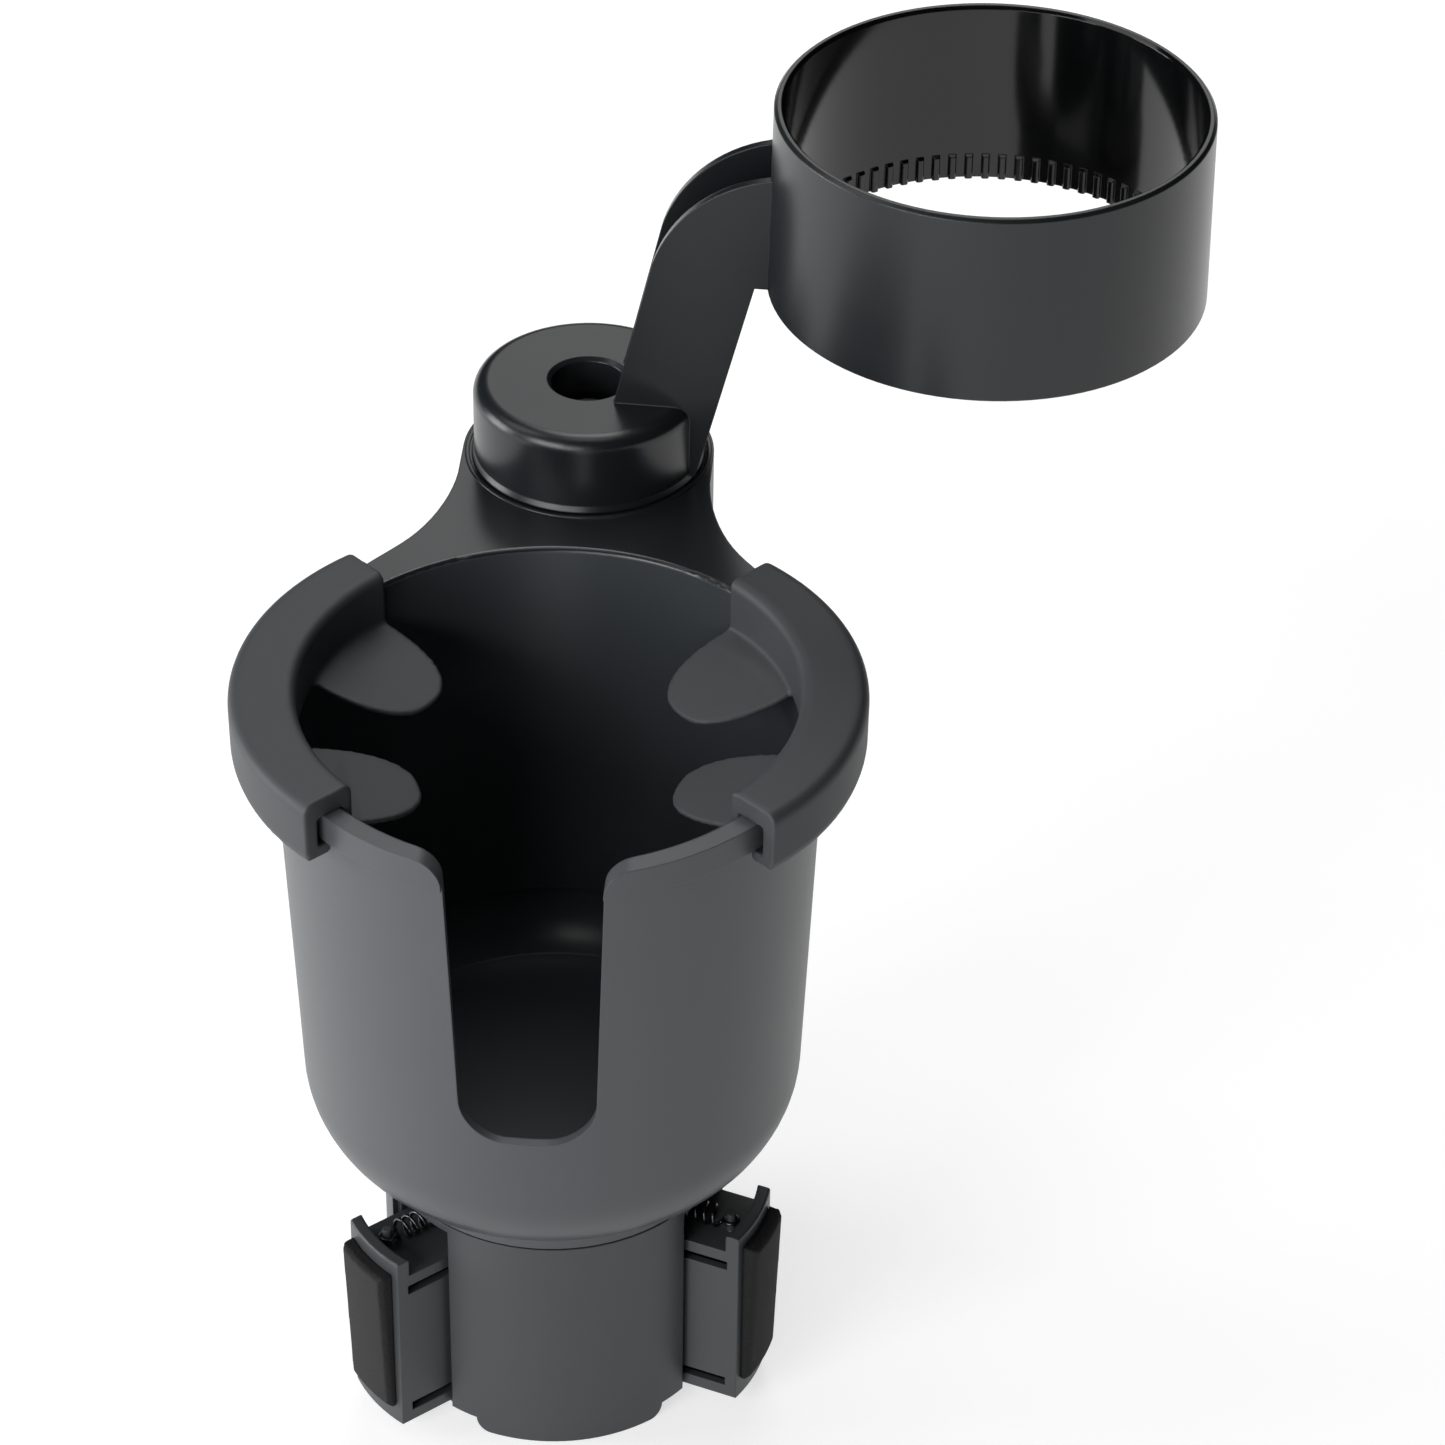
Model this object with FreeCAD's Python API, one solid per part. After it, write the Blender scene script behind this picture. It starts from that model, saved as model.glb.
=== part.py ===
"""Cup holder expander: a cup on a base with three sliding grip arms, with a second ring on a swivelling arm.

Units are millimetres. The origin is the centre of the foot on the cup's own axis, Z is up, the cup's handle
slot faces -Y and the neck with the swivel stands at +Y.
"""
import FreeCAD, Part
import math
import os

from FreeCAD import Vector

UP = Vector(0, 0, 1)
ORIGIN = Vector(0, 0, 0)

# Base housing
base_radius = 33.0
shell_wall = 2.4
window_bottom = 3.0
window_top = 49.0
window_half_width = 9.4
housing_top = 50.6
tongue_half_angle = 33.5
tongue_corner = 3.0
floor_underside = 1.6
floor_radius = base_radius - 2.0
tube_radius = 9.0
tube_top = 41.0
bearing_radius = 5.8
bearing_top = 46.2
recess_radius = 6.3
recess_top = 7.0
guide_wall = 1.6
guide_wall_start = 7.0
guide_wall_top = 44.0
rail_clearance = 0.3
rail_start = base_radius - 15.2
rail_end = base_radius - 3.7
peg_radius = 0.9
base_arm_angles = (-139.0, -19.0, 101.0)
base_panel_angles = (-79.0, 41.0, 161.0)

# Base cover and its screws
cover_radius = base_radius - 3.4
cover_screw_circle = base_radius - 11.0
cover_screw_head_radius = 2.6
cover_screw_head_height = 1.1
cover_screw_radius = 1.2
cover_boss_radius = 3.0
cover_boss_top = 10.0

# Sliding grip arms, drawn along +X at the extension they stand at
pin_reach = base_radius - 9.0
pin_inner_reach = 13.7
arm_travel_in = pin_reach - pin_inner_reach
arm_travel_out = 1.7
arm_outer_reach = base_radius + arm_travel_in
arm_half_width = 8.0
arm_plate = 2.6
arm_wall = 1.6
arm_deck = 1.6
arm_bottom = 3.2
arm_top = 41.2
arm_lip_top = 45.2
arm_inner_end = tube_radius + arm_travel_in + 0.5
arm_slot_height = 2.1
arm_slot_inset = 2.6
arm_slot_end = arm_outer_reach - 3.3
scroll_rise = 6.25
pin_radius = 2.0
pin_offset = 4.5
pin_bottom = 37.0
pin_top = 48.2
pin_boss_radius = 3.2
pin_boss_top = 43.4
outer_peg_reach = arm_outer_reach - 5.1
inner_peg_reach = 7.6
peg_offset = -1.6
peg_top = 45.4
web_positions = (pin_reach + 1.0, outer_peg_reach - 5.2)
web_thickness = 1.2

# Grip pads
pad_thickness = 2.9
pad_half_width = 6.6
pad_bottom = 9.6
pad_top = 44.2
pad_edge = 0.8

# Return springs
spring_height = 43.5
spring_radius = 1.75
spring_wire = 0.35
spring_turns = 14
spring_leg = 2.0
spring_start = inner_peg_reach + spring_leg
spring_length = outer_peg_reach - inner_peg_reach - 2 * spring_leg
spring_pitch = spring_length / spring_turns

# Scroll disc
disc_radius = base_radius - shell_wall - 0.6
disc_bottom = 46.3
disc_top = 48.7
scroll_clearance = 0.3
key_size = 11.0
key_clearance = 0.1

# Centre bolt, bush, washer and threaded insert
bolt_radius = 3.0
bolt_head_radius = 5.2
bolt_head_bottom = 2.2
washer_radius = 5.9
washer_thickness = 1.0
bush_radius = 4.6
running_clearance = 0.06
insert_radius = 4.4
insert_length = 8.5
insert_cover = 1.9
bolt_end_gap = 1.5

# Cup
seam = 51.0
collar_wall = 2.8
shoulder_radius = 20.0
shoulder_rise = 24.0
shoulder_height = seam + shoulder_rise
cup_shoulder_radius = 47.5
cup_draft = 0.038
cup_wall = 2.6
floor_drop = 12.0
cup_floor = shoulder_height - floor_drop
floor_thickness = 2.6
insert_top = cup_floor - floor_thickness - insert_cover
insert_bottom = insert_top - insert_length
bolt_top = insert_top - bolt_end_gap
hub_radius = 8.5
rim_top = 155.7
rim_outer = 52.3
rim_inner = 47.9
band_bottom = 149.6
rim_round = 1.0
rib_count = 6
rib_thickness = 1.5

# Handle slot
slot_bottom = 90.4
slot_half_width = 12.6
slot_half_width_top = 14.2
slot_corner = 9.0
slot_mouth_round = 5.0

# Neck and boss for the swivel
boss_distance = 82.2
boss_radius = 24.5
neck_depth = 19.0
neck_top_wall = 3.0
neck_side_wall = 2.4
neck_flank = ((24.5, 72.0), (26.4, 60.5), (31.4, 49.0), (37.6, 40.8))
neck_foot = (43.5, 28.5)
seat_radius = 24.0
seat_height = 0.25
seat_width = 0.7
post_radius = 7.0
boss_insert_radius = 4.6
boss_insert_depth = 12.0

# Rim clips
clip_outer = 58.2
clip_inner = 45.2
clip_leg = 2.4
clip_channel_outer = 54.7
clip_top = 159.0
clip_channel_top = 156.0
clip_inner_bottom = 148.6
clip_bottom = 147.1
clip_hook_top = 149.3
clip_hook_inner = 51.1
clip_round = 3.2
clip_centres = {"left": 179.2, "right": 6.4}
clip_half_angles = {"left": 44.8, "right": 44.0}
neck_to_clip = 0.15

# Rim clip flaps
flap_angle = 30.0
flap_root = 46.4
flap_tip = 26.0
flap_half_width = 11.3
flap_root_height = 149.2
flap_tip_height = 145.2
flap_thickness = 1.1

# Swivel cap, arm plates and ring
cap_radius = 22.3
cap_gap = 0.4
cap_height = 16.1
cap_bottom = rim_top + cap_gap
cap_top = cap_bottom + cap_height
cap_wall = 2.2
cap_top_wall = 2.4
cap_round = 3.0
hole_radius = 7.2
hole_wall = 2.2
flange_gap = 0.8
flange_thickness = 3.5
flange_bottom = cap_bottom + flange_gap
hole_floor = flange_bottom + flange_thickness
arm_direction = -3.1
plate_outer = 8.1
plate_thickness = 1.8
plate_join = 0.7
ring_reach = 75.7
ring_rise = 27.8
ring_height = 37.6
ring_bottom = cap_top + ring_rise
ring_top = ring_bottom + ring_height
ring_radius_top = 40.6
ring_radius_bottom = 41.3
ring_wall = 1.9
ring_edge = 0.6
grip_rib_count = 76
grip_rib_width = 1.5
grip_rib_depth = 0.8
grip_rib_height = 5.2

# Swivel screw, washer, friction disc and insert
shoulder_screw_radius = 4.0
swivel_clearance = 0.05
friction_disc_radius = 9.2
friction_disc_thickness = 1.0
swivel_washer_radius = 6.4
swivel_washer_thickness = 0.8
screw_head_radius = 5.6
screw_head_height = 3.0
screw_tip = 147.0
screw_thread_radius = 2.6
socket_radius = 1.8
socket_depth = 1.8


def profile(start, *steps):
    """Closed face in the XZ plane. A step of two numbers is a line's end, one of four an arc's middle and end."""
    edges = []
    here = Vector(start[0], 0, start[1])
    for step in steps + (start,):
        end = Vector(step[-2], 0, step[-1])
        if here.distanceToPoint(end) < 1e-6:
            continue
        if len(step) == 4:
            edges.append(Part.Arc(here, Vector(step[0], 0, step[1]), end).toShape())
        else:
            edges.append(Part.LineSegment(here, end).toShape())
        here = end
    return Part.Face(Part.Wire(edges))


def plan(points, bottom, top):
    """Prism over a closed polygon in the XY plane."""
    corners = [Vector(x, y, bottom) for x, y in points]
    face = Part.Face(Part.makePolygon(corners + corners[:1]))
    return face.extrude(Vector(0, 0, top - bottom))


def turned(face, degrees=360.0):
    """Solid of revolution about the Z axis."""
    return face.revolve(ORIGIN, UP, degrees)


def on_circle(centre, radius, degrees):
    """Point on a circle, in the plane of the profile."""
    angle = math.radians(degrees)
    return centre[0] + radius * math.cos(angle), centre[1] + radius * math.sin(angle)


def cylinder(radius, bottom, top, x=0.0, y=0.0):
    return Part.makeCylinder(radius, top - bottom, Vector(x, y, bottom))


def tube(outer, inner, bottom, top, x=0.0, y=0.0):
    return cylinder(outer, bottom, top, x, y).cut(cylinder(inner, bottom - 1, top + 1, x, y))


def block(x0, x1, y0, y1, z0, z1):
    return Part.makeBox(x1 - x0, y1 - y0, z1 - z0, Vector(x0, y0, z0))


def hexagon(radius, bottom, top, x=0.0, y=0.0):
    corners = [on_circle((x, y), radius, 60 * k) for k in range(6)]
    return plan(corners, bottom, top)


def rotated(shape, degrees, centre=ORIGIN):
    copy = shape.copy()
    copy.rotate(centre, UP, degrees)
    return copy


def moved(shape, x, y, z=0.0):
    copy = shape.copy()
    copy.translate(Vector(x, y, z))
    return copy


def joined(shapes):
    """One solid out of overlapping ones."""
    first, rest = shapes[0], list(shapes[1:])
    return first.multiFuse(rest).removeSplitter() if rest else first


def cup_radius(height):
    """Outer radius of the cup's drafted wall."""
    return cup_shoulder_radius + cup_draft * (height - shoulder_height)


def cup_inner_radius(height):
    return rim_inner + cup_draft * (height - rim_top)


def edges_near(shape, test):
    return [edge for edge in shape.Edges if test(edge)]


# Base housing: panels between the arms, a floor, guide walls with rails, and the bearing tube

def make_housing():
    inner = base_radius - shell_wall
    shell = tube(base_radius, inner, 0.0, housing_top)
    for angle in base_arm_angles:
        window = block(0, 2 * base_radius, -window_half_width, window_half_width, window_bottom - 1, window_top)
        shell = shell.cut(rotated(window, angle))
    for angle in base_arm_angles:
        half = math.radians(60 - tongue_half_angle)
        reach = 2 * base_radius
        side = reach * math.tan(half)
        notch = plan([(0, 0), (reach, -side), (reach, side)], -1, window_bottom)
        shell = shell.cut(rotated(notch, angle))
    shell = rounded_tongues(shell)

    parts = [shell, cylinder(floor_radius, floor_underside, window_bottom)]
    parts.append(cylinder(tube_radius, floor_underside, tube_top))
    parts.append(cylinder(bearing_radius, tube_top - 1, bearing_top))
    for angle in base_panel_angles:
        x, y = on_circle((0, 0), cover_screw_circle, angle)
        parts.append(cylinder(cover_boss_radius, floor_underside, cover_boss_top, x, y))
    for angle in base_arm_angles:
        for side in (-1, 1):
            parts.append(rotated(make_guide_wall(side), angle))
        x, y = inner_peg_reach, peg_offset
        parts.append(rotated(cylinder(peg_radius, tube_top - 1, peg_top, x, y), angle))
    housing = joined(parts)

    housing = housing.cut(cylinder(bush_radius, 0, bearing_top + 1))
    housing = housing.cut(cylinder(recess_radius, 0, recess_top))
    for angle in base_panel_angles:
        x, y = on_circle((0, 0), cover_screw_circle, angle)
        housing = housing.cut(cylinder(cover_screw_radius, 0, cover_boss_top - 1, x, y))
    return housing


def rounded_tongues(shell):
    """Round the lower corners of the three tongues that the base stands on."""
    def corner(edge):
        box = edge.BoundBox
        radial = box.ZLength < 0.01 and abs(box.ZMin) < 0.01
        return radial and abs(edge.Length - shell_wall) < 0.3
    edges = edges_near(shell, corner)
    return shell.makeFillet(tongue_corner - 0.05, edges)


def make_guide_wall(side):
    """Wall beside an arm that runs along +X, with an upper and a lower rail."""
    near = arm_half_width + rail_clearance
    far = near + guide_wall
    wall = block(guide_wall_start, floor_radius - 0.6, near, far, floor_underside + 0.4, guide_wall_top)
    for slot_bottom_z in slot_heights():
        low = slot_bottom_z + rail_clearance
        high = slot_bottom_z + arm_slot_height - rail_clearance
        tip = arm_half_width - arm_wall + rail_clearance
        rail = block(rail_start, rail_end, tip, near + 0.5, low, high)
        wall = wall.fuse(rail)
    if side < 0:
        wall = wall.mirror(ORIGIN, Vector(0, 1, 0))
    return wall


def slot_heights():
    """Lower edges of the lower and upper guide slots in the arms."""
    return arm_bottom + arm_slot_inset, arm_top - arm_slot_inset - arm_slot_height


def make_cover():
    cover = cylinder(cover_radius, 0, floor_underside)
    cover = cover.makeChamfer(0.4, edges_near(cover, lambda e: abs(e.BoundBox.ZMax) < 0.01 and e.Length > 10))
    for angle in base_panel_angles:
        x, y = on_circle((0, 0), cover_screw_circle, angle)
        cover = cover.cut(cylinder(cover_screw_radius, -1, floor_underside + 1, x, y))
        cover = cover.cut(cylinder(cover_screw_head_radius + 0.2, -1, cover_screw_head_height, x, y))
    return cover


def make_cover_screws():
    screws = []
    for angle in base_panel_angles:
        x, y = on_circle((0, 0), cover_screw_circle, angle)
        head = cylinder(cover_screw_head_radius, 0.2, cover_screw_head_height, x, y)
        shank = cylinder(cover_screw_radius, cover_screw_head_height, cover_boss_top - 2, x, y)
        cross = block(x - 1.4, x + 1.4, y - 0.3, y + 0.3, 0, 0.7)
        screws.append(head.fuse(shank).cut(cross).cut(rotated(cross, 90, Vector(x, y, 0))))
    return Part.makeCompound(screws)


# Sliding arm with its curved outer plate, pad, drive pin and return spring, drawn along +X

def arm_outline(radius, half_width, inner_radius):
    """Piece of a curved wall whose outer face has the base's own radius."""
    centre = arm_outer_reach - base_radius
    outer_x = centre + math.sqrt(radius ** 2 - half_width ** 2)
    inner_x = centre + math.sqrt(inner_radius ** 2 - half_width ** 2)
    a = Vector(inner_x, -half_width, 0)
    b = Vector(outer_x, -half_width, 0)
    c = Vector(outer_x, half_width, 0)
    d = Vector(inner_x, half_width, 0)
    outer = Part.Arc(b, Vector(centre + radius, 0, 0), c).toShape()
    inner = Part.Arc(d, Vector(centre + inner_radius, 0, 0), a).toShape()
    wire = Part.Wire([Part.makeLine(a, b), outer, Part.makeLine(c, d), inner])
    return Part.Face(wire)


def make_slider():
    plate_face = arm_outline(base_radius, arm_half_width, base_radius - arm_plate)
    plate = plate_face.extrude(Vector(0, 0, arm_lip_top - arm_bottom))
    plate.translate(Vector(0, 0, arm_bottom))
    near_plate = arm_outer_reach - arm_plate - 0.2
    inner_y = arm_half_width - arm_wall
    parts = [plate]
    for side in (-1, 1):
        y0, y1 = sorted((side * inner_y, side * arm_half_width))
        parts.append(block(arm_inner_end, near_plate, y0, y1, arm_bottom, arm_top))
    parts.append(block(arm_inner_end, near_plate, -inner_y - 0.2, inner_y + 0.2, arm_bottom, arm_bottom + arm_deck))
    parts.append(block(arm_inner_end, near_plate, -inner_y - 0.2, inner_y + 0.2, arm_top - arm_deck, arm_top))
    for x in web_positions:
        half = web_thickness / 2
        low, high = slot_heights()
        parts.append(block(x - half, x + half, -inner_y - 0.2, inner_y + 0.2, low + 3, high - 1))
    parts.append(cylinder(pin_boss_radius, arm_top - 1, pin_boss_top, pin_reach, pin_offset))
    parts.append(cylinder(pin_boss_radius, pin_bottom - 1, arm_top - 1, pin_reach, pin_offset))
    parts.append(cylinder(peg_radius, arm_top - 1, peg_top, outer_peg_reach, peg_offset))
    slider = joined(parts)

    for z in slot_heights():
        for side in (-1, 1):
            y0, y1 = sorted((side * (inner_y - 0.01), side * (arm_half_width + 1)))
            slider = slider.cut(block(arm_inner_end - 1, arm_slot_end, y0, y1, z, z + arm_slot_height))
    slider = slider.cut(cylinder(pin_radius, pin_bottom, pin_boss_top + 1, pin_reach, pin_offset))
    lip = edges_near(slider, lambda e: abs(e.BoundBox.ZMin - arm_lip_top) < 0.01 and e.Length > 12)
    return slider.makeFillet(0.5, lip)


def make_pad():
    face = arm_outline(base_radius + pad_thickness, pad_half_width, base_radius)
    pad = face.extrude(Vector(0, 0, pad_top - pad_bottom))
    pad.translate(Vector(0, 0, pad_bottom))
    outer_x = arm_outer_reach + 1
    def outer_edge(edge):
        return edge.BoundBox.XMin > outer_x
    return pad.makeChamfer(pad_edge, edges_near(pad, outer_edge))


def make_pin():
    pin = cylinder(pin_radius, pin_bottom, pin_top, pin_reach, pin_offset)
    return pin.makeChamfer(0.4, edges_near(pin, lambda e: e.BoundBox.ZMin > pin_top - 0.1))


def make_spring():
    """Coil between the pegs of the tube and of the arm, with a straight leg and an eye at each end."""
    helix = Part.makeHelix(spring_pitch, spring_length, spring_radius)
    helix.rotate(ORIGIN, Vector(0, 1, 0), 90)
    helix.rotate(ORIGIN, Vector(1, 0, 0), 180)
    helix.translate(Vector(spring_start, peg_offset, spring_height))
    coil = swept(helix)
    first = helix.Vertexes[0].Point
    last = helix.Vertexes[-1].Point
    shapes = [coil]
    for end, peg_x in ((first, inner_peg_reach), (last, outer_peg_reach)):
        shapes.append(make_eye(end, peg_x))
    return shapes[0].fuse(shapes[1:])


def swept(path, sides=6):
    """Wire of round section, drawn as a regular polygon, along a path."""
    edge = path.Edges[0]
    start = edge.valueAt(edge.FirstParameter)
    along = edge.tangentAt(edge.FirstParameter)
    across = along.cross(UP)
    if across.Length < 0.1:
        across = along.cross(Vector(1, 0, 0))
    across.normalize()
    second = along.cross(across)
    corners = []
    for k in range(sides):
        angle = 2 * math.pi * k / sides
        corners.append(start + across * (spring_wire * math.cos(angle)) + second * (spring_wire * math.sin(angle)))
    section = Part.makePolygon(corners + corners[:1])
    sweep = Part.BRepOffsetAPI.MakePipeShell(Part.Wire(path.Edges))
    sweep.setFrenetMode(True)
    sweep.add(section)
    sweep.build()
    sweep.makeSolid()
    return sweep.shape()


def make_eye(end, peg_x):
    """Leg from the coil's end to an eye that lies round a peg."""
    eye_radius = peg_radius + spring_wire + 0.05
    eye = Part.makeTorus(eye_radius, spring_wire, Vector(peg_x, peg_offset, spring_height), UP)
    toward = 1 if end.x > peg_x else -1
    root = Vector(peg_x + toward * eye_radius, peg_offset, spring_height)
    leg = end - root
    return eye.fuse(Part.makeCylinder(spring_wire * 0.9, leg.Length, root, leg))


# Scroll disc: three spiral slots that carry the drive pins outwards as it turns

def scroll_point(travel):
    """Centre of the pin, seen from the disc, when the arm has moved by travel."""
    x, y = pin_reach + travel, pin_offset
    angle = travel / scroll_rise
    return (x * math.cos(angle) - y * math.sin(angle), x * math.sin(angle) + y * math.cos(angle))


def scroll_side(offset, steps=8):
    """Points of a slot's edge at an offset from the pin's path."""
    low, high = -arm_travel_in - 0.3, arm_travel_out + 0.3
    points = []
    for k in range(steps + 1):
        travel = low + (high - low) * k / steps
        x, y = scroll_point(travel)
        ahead = scroll_point(travel + 0.01)
        dx, dy = ahead[0] - x, ahead[1] - y
        size = math.hypot(dx, dy)
        points.append(Vector(x - offset * dy / size, y + offset * dx / size, 0))
    return points


def make_scroll_slot():
    half = pin_radius + scroll_clearance
    left = scroll_side(half)
    right = scroll_side(-half)
    edges = []
    curve = Part.BSplineCurve()
    curve.interpolate(left)
    edges.append(curve.toShape())
    path = scroll_side(0.0)
    def end_arc(a, b, centre, before):
        outward = (centre - before)
        outward.normalize()
        return Part.Arc(a, centre + outward * half, b).toShape()
    edges.append(end_arc(left[-1], right[-1], path[-1], path[-2]))
    back = Part.BSplineCurve()
    back.interpolate(list(reversed(right)))
    edges.append(back.toShape())
    edges.append(end_arc(right[0], left[0], path[0], path[1]))
    face = Part.Face(Part.Wire(edges))
    slot = face.extrude(Vector(0, 0, disc_top - disc_bottom + 2))
    slot.translate(Vector(0, 0, disc_bottom - 1))
    return slot


def make_scroll_disc():
    disc = cylinder(disc_radius, disc_bottom, disc_top)
    for angle in base_arm_angles:
        disc = disc.cut(rotated(make_scroll_slot(), angle))
    half = key_size / 2 + key_clearance
    return disc.cut(block(-half, half, -half, half, disc_bottom - 1, disc_top + 1))


# Centre bolt and what it turns in

def make_bolt():
    head = hexagon(bolt_head_radius, bolt_head_bottom, recess_top - washer_thickness)
    bolt = head.fuse(cylinder(bolt_radius, recess_top - washer_thickness, bolt_top))
    return bolt.cut(cylinder(bolt_head_radius * 0.35, bolt_head_bottom - 1, bolt_head_bottom + 0.6))


def make_washer():
    return tube(washer_radius, bolt_radius, recess_top - washer_thickness, recess_top - 0.05)


def make_bush():
    return tube(bush_radius, bolt_radius + running_clearance, recess_top, bearing_top)


def make_hub_insert():
    insert = tube(insert_radius, bolt_radius, insert_bottom, insert_top)
    groove = tube(insert_radius + 1, insert_radius - 0.4, insert_bottom + 3.4, insert_bottom + 5.0)
    return insert.cut(groove)


# Cup with collar, handle slot, rim band, neck and boss

def neck_outline(offset):
    """Plan of the neck: boss, concave flanks and a foot inside the cup, moved in or out by an offset."""
    flank = [Vector(x + offset, y, 0) for x, y in neck_flank]
    foot = Vector(neck_foot[0] + offset, neck_foot[1], 0)
    mirror = [Vector(-p.x, p.y, 0) for p in flank]
    mirror_foot = Vector(-foot.x, foot.y, 0)
    right = Part.BSplineCurve()
    right.interpolate(flank + [foot])
    left = Part.BSplineCurve()
    left.interpolate([mirror_foot] + list(reversed(mirror)))
    radius = boss_radius + offset
    side = Vector(radius, boss_distance, 0)
    other = Vector(-radius, boss_distance, 0)
    round_end = Part.Arc(other, Vector(0, boss_distance + radius, 0), side).toShape()
    edges = [
        right.toShape(),
        Part.makeLine(foot, mirror_foot),
        left.toShape(),
        Part.makeLine(mirror[0], other),
        round_end,
        Part.makeLine(side, flank[0]),
    ]
    return Part.Face(Part.Wire(Part.__sortEdges__(edges)))


def neck_solid(offset, bottom, top):
    solid = neck_outline(offset).extrude(Vector(0, 0, top - bottom))
    solid.translate(Vector(0, 0, bottom))
    return solid


def make_slot():
    """Handle slot through the front wall, open at the rim, with a rounded bottom and a rounded mouth."""
    half, top_half = slot_half_width, slot_half_width_top
    corner = on_circle((half - slot_corner, slot_bottom + slot_corner), slot_corner, -45)
    mouth_start = rim_top - slot_mouth_round
    mouth = on_circle((top_half + slot_mouth_round, mouth_start), slot_mouth_round, 135)
    above = rim_top + 6
    face = profile(
        (-half + slot_corner, slot_bottom),
        (half - slot_corner, slot_bottom),
        (corner[0], corner[1], half, slot_bottom + slot_corner),
        (top_half, mouth_start),
        (mouth[0], mouth[1], top_half + slot_mouth_round, rim_top),
        (top_half + slot_mouth_round, above),
        (-top_half - slot_mouth_round, above),
        (-top_half - slot_mouth_round, rim_top),
        (-mouth[0], mouth[1], -top_half, mouth_start),
        (-half, slot_bottom + slot_corner),
        (-corner[0], corner[1], -half + slot_corner, slot_bottom),
    )
    face.translate(Vector(0, -30, 0))
    return face.extrude(Vector(0, -40, 0))


def make_cup():
    centre = (cup_shoulder_radius - shoulder_radius, shoulder_height)
    crease_angle = -math.degrees(math.acos((base_radius - centre[0]) / shoulder_radius))
    crease = on_circle(centre, shoulder_radius, crease_angle)
    middle = on_circle(centre, shoulder_radius, crease_angle / 2)
    outside = turned(profile(
        (0, seam),
        (base_radius, seam),
        (base_radius, crease[1]),
        (middle[0], middle[1], cup_shoulder_radius, shoulder_height),
        (cup_radius(band_bottom), band_bottom),
        (rim_outer - 0.5, band_bottom),
        (rim_outer, band_bottom + 0.5),
        (rim_outer, rim_top),
        (0, rim_top),
    ))
    neck = neck_solid(0.0, rim_top - neck_depth, rim_top)
    body = outside.fuse(neck)
    seat = tube(seat_radius, seat_radius - seat_width, rim_top - 0.5, rim_top + seat_height, 0, boss_distance)
    body = body.fuse(seat)

    inner_arc = shoulder_radius - cup_wall
    drop = shoulder_height - cup_floor
    floor_angle = -math.degrees(math.asin(drop / inner_arc))
    floor_edge = on_circle(centre, inner_arc, floor_angle)
    inner_middle = on_circle(centre, inner_arc, floor_angle / 2)
    wall_foot = cup_inner_radius(shoulder_height)
    inside = turned(profile(
        (0, cup_floor),
        floor_edge,
        (inner_middle[0], inner_middle[1], centre[0] + inner_arc, shoulder_height),
        (wall_foot, shoulder_height + 1),
        (rim_inner, rim_top),
        (rim_inner, rim_top + 3),
        (0, rim_top + 3),
    ))
    body = body.cut(inside)
    body = body.cut(make_slot())
    body = body.cut(make_neck_hollow())
    body = body.cut(make_under_cavity(centre, inner_arc))

    parts = [body]
    underside = cup_floor - floor_thickness
    parts.append(cylinder(hub_radius, disc_top + 0.05, underside + 1))
    half = key_size / 2
    parts.append(block(-half, half, -half, half, disc_bottom + 0.3, disc_top + 1))
    for k in range(rib_count):
        reach = base_radius - collar_wall + 0.5
        rib = block(hub_radius - 0.5, reach, -rib_thickness / 2, rib_thickness / 2, seam + 4, underside + 1)
        parts.append(rotated(rib, 60 * k + 30))
    parts.append(cylinder(post_radius, rim_top - neck_depth + 2, rim_top - 1, 0, boss_distance))
    for k in range(4):
        rib = block(post_radius - 0.5, boss_radius - 1, -0.8, 0.8, rim_top - neck_depth + 5, rim_top - 1)
        parts.append(moved(rotated(rib, 90 * k + 45), 0, boss_distance))
    cup = joined(parts)
    cup = cup.cut(cylinder(insert_radius, insert_bottom, insert_top))
    cup = cup.cut(cylinder(bolt_radius + 0.1, disc_bottom - 1, insert_bottom + 1))
    post_bottom = rim_top - boss_insert_depth
    cup = cup.cut(cylinder(boss_insert_radius, post_bottom, rim_top + 1, 0, boss_distance))
    return rounded_rim(cup)


def make_neck_hollow():
    """Hollow under the neck, open below, kept clear of the cup's own wall."""
    hollow = neck_solid(-neck_side_wall, rim_top - neck_depth - 1, rim_top - neck_top_wall)
    keep = turned(profile(
        (0, seam),
        (cup_radius(seam), seam),
        (cup_radius(rim_top) + 1.2, rim_top + 1),
        (0, rim_top + 1),
    ))
    return hollow.cut(keep)


def make_under_cavity(centre, inner_arc):
    """Cavity under the cup's floor, inside the collar."""
    collar = base_radius - collar_wall
    underside = cup_floor - floor_thickness
    low_angle = -math.degrees(math.acos((collar - centre[0]) / inner_arc))
    high_angle = -math.degrees(math.asin((shoulder_height - underside) / inner_arc))
    low = on_circle(centre, inner_arc, low_angle)
    high = on_circle(centre, inner_arc, high_angle)
    middle = on_circle(centre, inner_arc, (low_angle + high_angle) / 2)
    return turned(profile(
        (0, seam - 1),
        (collar, seam - 1),
        low,
        (middle[0], middle[1], high[0], high[1]),
        (0, underside),
    ))


def rounded_rim(cup):
    """Round the rim's inner edge, which runs along the neck too."""
    def inner_edge(edge):
        box = edge.BoundBox
        flat = box.ZLength < 0.01 and abs(box.ZMin - rim_top) < 0.01
        ends = [math.hypot(v.Point.x, v.Point.y) for v in edge.Vertexes]
        return flat and all(abs(r - rim_inner) < 0.05 for r in ends) and edge.Length > 20
    return cup.makeFillet(rim_round, edges_near(cup, inner_edge))


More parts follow.
